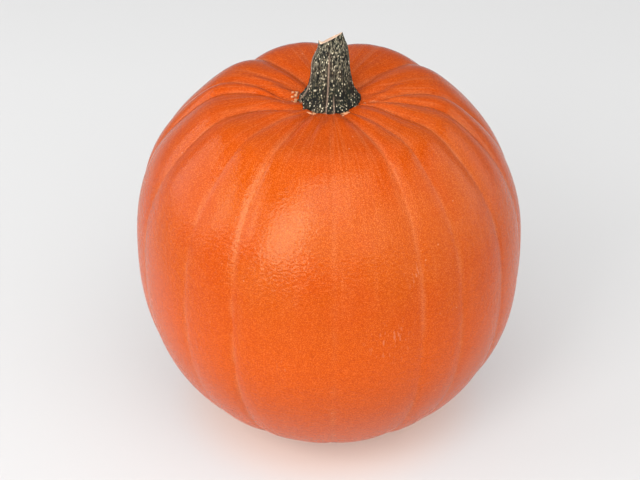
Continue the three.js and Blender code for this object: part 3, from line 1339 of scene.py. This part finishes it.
    def marks(self, spot: Spot, point: Vector, ground: float) -> dict[str, float]:
        """Marks where each finish shows.

        Args:
            spot: The place on the plain section.
            point: The point of the stem, in millimetres.
            ground: The level of the skin under it.

        Returns:
            How strongly each finish shows there, from 0 to 1, by its name.
        """
        azimuth = self.grooves.azimuth(spot)
        ragged = max(0.0, self.gaps.at(azimuth, self.gap_height) - self.callus_gap)
        callus = min(1.0, self.callus_strength * ragged)
        from_well = (Vector(self.pith_at) - at(spot.radius, azimuth, 0).to_2d()).length
        return {
            # where the painted shade goes: how deep the groove is
            "groove": min(1.0, self.grooves.depth(spot.index, spot.share, self.groove_sharpness)),
            "tip": clamp((self.climb(spot.height) - self.tip_start) / self.tip_reach),
            "callus": callus * bell(point.z - ground, self.callus_height),
            "vein": max(self.vein_share(vein, spot, azimuth) for vein in self.veins),
            # the hollow's brown and painted shade
            "pith_hollow_and_shade": bell(from_well, self.pith_radius),
            "cut": float(self.in_cut(spot)),
        }

    def vein_share(self, vein: Vein, spot: Spot, azimuth: float) -> float:
        """Gives how strongly a vein shows at a place.

        Args:
            vein: The vein.
            spot: The place.
            azimuth: Its azimuth in radians.

        Returns:
            The strength, from 0 to 1.
        """
        aside = math.remainder(azimuth - math.radians(vein.azimuth), math.tau) * spot.radius
        fade = clamp((vein.top - spot.height) / self.vein_fade)
        return vein.strength * bell(aside, vein.width) * fade

    def add_scab(
        self, mesh: bmesh.types.BMesh, scab: Scab, skin: BVHTree, mark: bmesh.types.BMLayerItem
    ) -> None:
        """Adds a corky flake that lies on the skin.

        Args:
            mesh: The stem's mesh.
            scab: The flake.
            skin: The fruit's skin.
            mark: The layer that colours the flake.
        """
        turn = math.radians(scab.azimuth)
        middle = self.skin_below(scab.radius, turn, skin)
        own_row = Vector((scab.azimuth, 0, 0))
        for vert in bmesh.ops.create_icosphere(mesh, subdivisions=2, radius=0.5)["verts"]:
            waves = noise.noise(vert.co * self.flake_waves + own_row)
            ragged = 1 + self.flake_raggedness * waves
            size = Vector((scab.length, scab.width, scab.thickness)) * MM * ragged
            vert.co = vert.co * size
            vert.co.rotate(Euler((0, 0, turn)))
            vert.co += middle
            vert[mark] = 1.0


# ---- Studio ----


@dataclass(frozen=True)
class GlowingFloor:
    """The floor: a matt grey sheet that glows, as painted light.

    The glow keeps shadows on it pale and their edges soft. It is left out of the spot that the
    pumpkin stands on, which paints a shadow under it, and it fades towards the front. Near the
    pumpkin the sheet and its glow are painted warm, as painted bounce light from the orange skin.
    Each pair of limits, in millimetres, says where a change starts and where it is full: the warmth
    with the distance from the axis, the glow's painted shadow with that distance, and the glow with
    the distance behind the axis.
    """

    tone: str = "a0a0a0"
    glow_tone: str = "ffffff"
    # painted bounce light: the sheet and its glow are painted warm near the pumpkin
    painted_bounce: Tint = Tint("ad9f97")
    painted_bounce_glow: Tint = Tint("ffeadc")
    painted_bounce_limits: tuple[float, float] = (118, 62)
    # where the painted shadow under the pumpkin starts and where the glow is full
    painted_shadow_limits: tuple[float, float] = (0, 30)
    # the glow, painted light: dimmer in front, brighter behind
    glow: tuple[float, float] = (0.185, 0.335)
    glow_limits: tuple[float, float] = (-550, 450)
    roughness: float = 0.9

    def material(self) -> bpy.types.Material:
        """Makes the material.

        Returns:
            The material.
        """
        paint = Paint("glowing_floor")
        painted_bounce = self._around(paint, self.painted_bounce_limits)
        # painted shadow: no glow on the spot that the pumpkin stands on
        lit = self._around(paint, self.painted_shadow_limits)
        depth = paint.add("SeparateXYZ", {0: paint.place}, "Y")
        limits = ramp(self.glow_limits[0] * MM, self.glow_limits[1] * MM, *self.glow)
        glow = paint.add("MapRange", {"Value": depth, **limits})
        return paint.finish(
            # painted bounce light on the sheet and on its glow; the glow itself is painted light
            Base_Color=paint.lay(colour(self.tone), self.painted_bounce, painted_bounce),
            Roughness=self.roughness,
            Emission_Color=paint.lay(colour(self.glow_tone), self.painted_bounce_glow, painted_bounce),
            Emission_Strength=paint.add("Math", {0: glow, 1: lit}, operation="MULTIPLY"),
        )

    def _around(self, paint: Paint, limits: tuple[float, float]) -> Socket:
        """Draws a soft-edged mask around the axis.

        Args:
            paint: The material.
            limits: How far from the axis the mask starts and how far from it the mask is full.

        Returns:
            The mask, from 0 to 1.
        """
        away = paint.add("VectorMath", {0: paint.place}, "Value", operation="LENGTH")
        inputs = {"Value": away, **ramp(limits[0] * MM, limits[1] * MM)}
        return paint.add("MapRange", inputs, interpolation_type="SMOOTHSTEP")


@dataclass(frozen=True)
class Softbox:
    """An oblong studio light that hangs some way off, facing the pumpkin.

    The azimuth and elevation are in degrees, the distance and the sides in metres, the brightness
    in watts per square metre and steradian, as a white card in full light has about 1.
    """

    name: str
    azimuth: float
    elevation: float
    distance: float
    width: float
    height: float
    brightness: float

    def build(self, target: Vector) -> None:
        """Hangs the light.

        Args:
            target: The point that it faces, in metres.
        """
        lamp = bpy.data.lights.new(self.name, "AREA")
        lamp.shape = "RECTANGLE"
        lamp.size = self.width
        lamp.size_y = self.height
        lamp.energy = self.brightness * math.pi * self.width * self.height
        light = bpy.data.objects.new(self.name, lamp)
        climb = math.radians(self.elevation)
        away = at(math.cos(climb), math.radians(self.azimuth), math.sin(climb))
        light.location = target + away * self.distance
        light.rotation_euler = away.to_track_quat("Z", "Y").to_euler()
        bpy.context.scene.collection.objects.link(light)


@dataclass
class Studio:
    """A plain pale floor, soft light and the camera.

    The floor's size, the height that the lights face and the camera's distance are in metres,
    the aim and its lift in millimetres like the pumpkin. The walls and the ceiling are how bright
    the air is towards them. The cove between them has its limits as the sine of the elevation.
    """

    floor_size: float = 12.0
    # the floor, whose glow is painted light
    table: GlowingFloor = GlowingFloor()
    air_tone: str = "f8f8f8"
    walls: float = 0.36
    ceiling: float = 0.22
    cove: tuple[float, float] = (0.4, 0.85)
    elevation: float = 34.2
    distance: float = 1.4975
    lens: float = 123.4
    aim: tuple[float, float, float] = (-6.3, 0, 123.3)
    aim_lift: float = 8.1
    target_height: float = 0.13
    lights: tuple[Softbox, ...] = (
        Softbox("key_softbox", -30, 28, 1.5, 0.58, 1.15, 9.0),
        Softbox("front_softbox", 12, 43, 1.7, 1.8, 2.1, 2.45),
        Softbox("crest_softbox", -4, 54, 1.6, 0.85, 0.55, 2.8),
        Softbox("left_softbox", -66, 27, 1.5, 0.5, 0.75, 4.6),
        Softbox("far_left_softbox", -98, 22, 1.5, 1.3, 1.0, 2.3),
        Softbox("right_softbox", 82, 22, 1.5, 2.4, 1.4, 1.55),
        Softbox("overhead_softbox", 180, 80, 1.6, 1.6, 1.2, 0.7),
    )

    def build(self) -> None:
        """Builds the floor, the lights and the camera."""
        self._floor()
        self._air()
        for light in self.lights:
            light.build(Vector((0, 0, self.target_height)))
        self._camera()
        bpy.context.scene.view_settings.view_transform = "Standard"

    def _floor(self) -> None:
        """Lays the floor, which is no part of the pumpkin."""
        mesh = bmesh.new()
        bmesh.ops.create_grid(mesh, x_segments=1, y_segments=1, size=self.floor_size / 2)
        data = bpy.data.meshes.new("floor")
        mesh.to_mesh(data)
        mesh.free()
        floor = bpy.data.objects.new("floor", data)
        bpy.context.scene.collection.objects.link(floor)
        data.materials.append(self.table.material())

    def _air(self) -> None:
        """Fills the room with pale light, brighter from the walls than from the ceiling."""
        world = bpy.data.worlds.new("room")
        world.use_nodes = True
        air = world.node_tree.nodes["Background"]
        nodes = Nodes(world.node_tree)
        toward = nodes.add("TexCoord", out="Generated")
        rise = nodes.add("SeparateXYZ", {0: toward}, "Z")
        limits = ramp(*self.cove, self.walls, self.ceiling)
        light = nodes.add("MapRange", {"Value": rise, **limits}, interpolation_type="SMOOTHSTEP")
        nodes.feed(air.inputs["Color"], colour(self.air_tone))
        nodes.feed(air.inputs["Strength"], light)
        bpy.context.scene.world = world

    def _camera(self) -> None:
        """Sets the camera up in front, looking down at the pumpkin."""
        tilt = math.radians(self.elevation)
        back = Vector((0, -math.cos(tilt), math.sin(tilt)))
        upward = Vector((0, math.sin(tilt), math.cos(tilt)))
        centre = Vector((0, 0, self.aim[2])) * MM
        target = centre + Vector((self.aim[0] * MM, 0, 0)) + upward * self.aim_lift * MM
        lens = bpy.data.cameras.new("camera")
        lens.lens = self.lens
        camera = bpy.data.objects.new("camera", lens)
        camera.location = centre + back * self.distance
        camera.rotation_euler = (camera.location - target).to_track_quat("Z", "Y").to_euler()
        bpy.context.scene.collection.objects.link(camera)
        bpy.context.scene.camera = camera


def main() -> None:
    """Builds the pumpkin and its studio in order."""
    logging.basicConfig(level=logging.INFO, format="%(name)s: %(message)s")
    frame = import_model()
    log.info("solid bodies: %s", ", ".join(frame["nodes"]))
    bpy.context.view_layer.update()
    fruit = Fruit().build()
    Stem().build(fruit)
    Studio().build()


if __name__ == "__main__":
    main()
